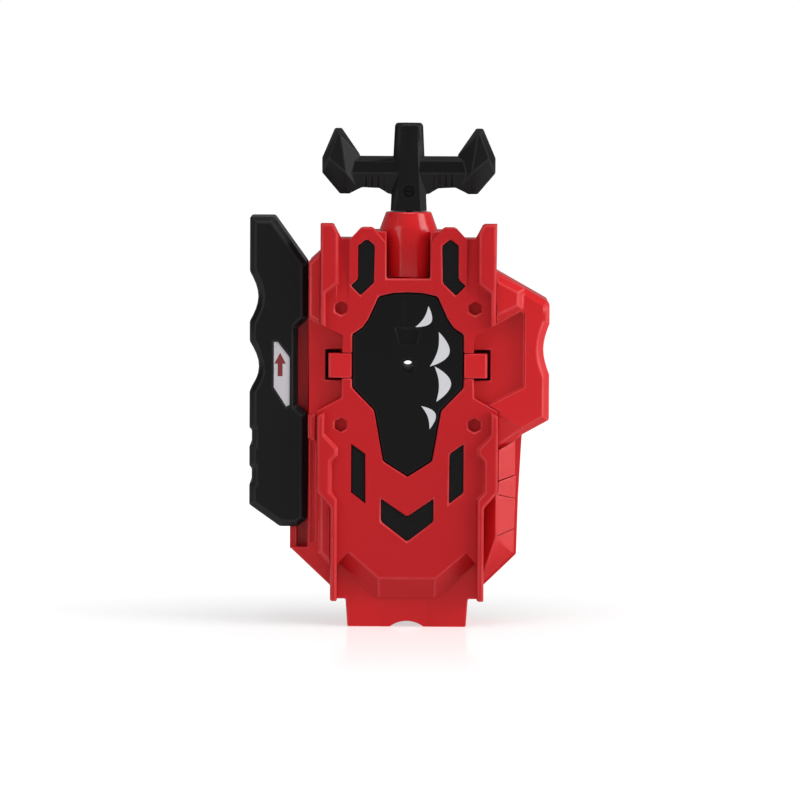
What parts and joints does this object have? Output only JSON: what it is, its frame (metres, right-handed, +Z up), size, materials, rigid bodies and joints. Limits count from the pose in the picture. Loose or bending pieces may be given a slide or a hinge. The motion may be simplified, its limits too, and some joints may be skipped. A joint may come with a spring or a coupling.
{
  "type": "spinning top launcher",
  "caption": "Hand-held pull-cord launcher for spinning tops, with a T-handle on a recoiling cord, a geared launch head on the back and a side slide for the spin direction.",
  "frame": {"origin": "on the launch axis, in the plane where the two housing shells meet", "axes": "+X to the right seen from the front, +Y from the front into the depth towards the launch head, +Z up towards the handle"},
  "size_m": [0.0742, 0.04, 0.1248],
  "materials": {
    "matte_red": "fine grained",
    "gloss_red": "glossy",
    "black": "satin",
    "natural": "satin",
    "steel": "satin",
    "bronze": "satin",
    "cord": "braided",
    "label": "satin"
  },
  "bodies": {
    "housing": {"front_cover": "matte_red", "front_shell": "gloss_red", "rear_shell": "gloss_red", "centre_plate": "black", "inlay_frame": "black", "left_clip": "gloss_red", "right_clip": "gloss_red", "cord_collar": "gloss_red", "cord_eyelet": "steel", "spool_axle": "steel", "recoil_spring": "steel", "idler_pin": "steel", "front_bush": "bronze", "rear_bush": "bronze", "housing_screws": "steel", "detent_spring": "steel", "head_ring": "black", "yoke_rod": "steel"},
    "spool": {"cord_spool": "natural", "cord_winding": "cord", "right_drive_gear": "natural", "left_drive_gear": "natural"},
    "right_wheel": {"right_pinion": "natural"},
    "idler": {"idler_gear": "natural"},
    "left_wheel": {"left_pinion": "natural"},
    "rotor": {"launch_shaft": "steel", "launch_head": "black", "launch_prongs": "black", "shaft_clip": "steel"},
    "clutch": {"clutch_collar": "natural"},
    "yoke": {"shift_yoke": "natural"},
    "selector": {"selector_grip": "black", "shift_arm": "black", "direction_label": "label"},
    "cord_end": {"cord_run": "cord", "cord_ferrule": "steel"},
    "handle": {"handle_front": "black", "handle_rear": "black", "handle_screw": "black"}
  },
  "joints": [
    {"name": "handle_pull", "type": "slide", "parent": "housing", "child": "cord_end", "axis": [0, 0, 1], "range_m": [0, 0.45], "stiffness_N_per_m": 6, "springref_m": -0.4, "deforming": ["cord_run"]},
    {"name": "handle_swivel", "type": "hinge", "parent": "cord_end", "child": "handle", "pos_m": [0, 0, 0.04], "axis": [0, 0, 1], "continuous": true},
    {"name": "selector_slide", "type": "slide", "parent": "housing", "child": "selector", "axis": [0, 0, 1], "range_m": [-0.005, 0]},
    {"name": "spool_turn", "type": "hinge", "parent": "housing", "child": "spool", "pos_m": [-0.0096, 0, 0.01153], "axis": [0, 1, 0], "range_deg": [-2687, 0]},
    {"name": "right_wheel_turn", "type": "hinge", "parent": "housing", "child": "right_wheel", "pos_m": [0, 0, 0], "axis": [0, 1, 0], "range_deg": [0, 5708]},
    {"name": "idler_turn", "type": "hinge", "parent": "housing", "child": "idler", "pos_m": [-0.00825, 0, -0.0016], "axis": [0, 1, 0], "range_deg": [0, 5756]},
    {"name": "left_wheel_turn", "type": "hinge", "parent": "housing", "child": "left_wheel", "pos_m": [0, 0, 0], "axis": [0, 1, 0], "range_deg": [-5756, 0]},
    {"name": "rotor_turn", "type": "hinge", "parent": "housing", "child": "rotor", "pos_m": [0, 0, 0], "axis": [0, 1, 0], "range_deg": [-5756, 0]},
    {"name": "clutch_slide", "type": "slide", "parent": "rotor", "child": "clutch", "axis": [0, 1, 0], "range_m": [-0.002, 0]},
    {"name": "yoke_slide", "type": "slide", "parent": "housing", "child": "yoke", "axis": [0, 1, 0], "range_m": [-0.002, 0]}
  ],
  "couplings": [
    {"joint": "spool_turn", "follows": "handle_pull", "rad_per_m": -104.17},
    {"joint": "right_wheel_turn", "follows": "handle_pull", "rad_per_m": 221.35},
    {"joint": "idler_turn", "follows": "handle_pull", "rad_per_m": 223.21},
    {"joint": "left_wheel_turn", "follows": "handle_pull", "rad_per_m": -223.21},
    {"joint": "rotor_turn", "follows": "handle_pull", "rad_per_m": -223.21},
    {"joint": "clutch_slide", "follows": "selector_slide", "ratio": 0.4},
    {"joint": "yoke_slide", "follows": "selector_slide", "ratio": 0.4}
  ]
}
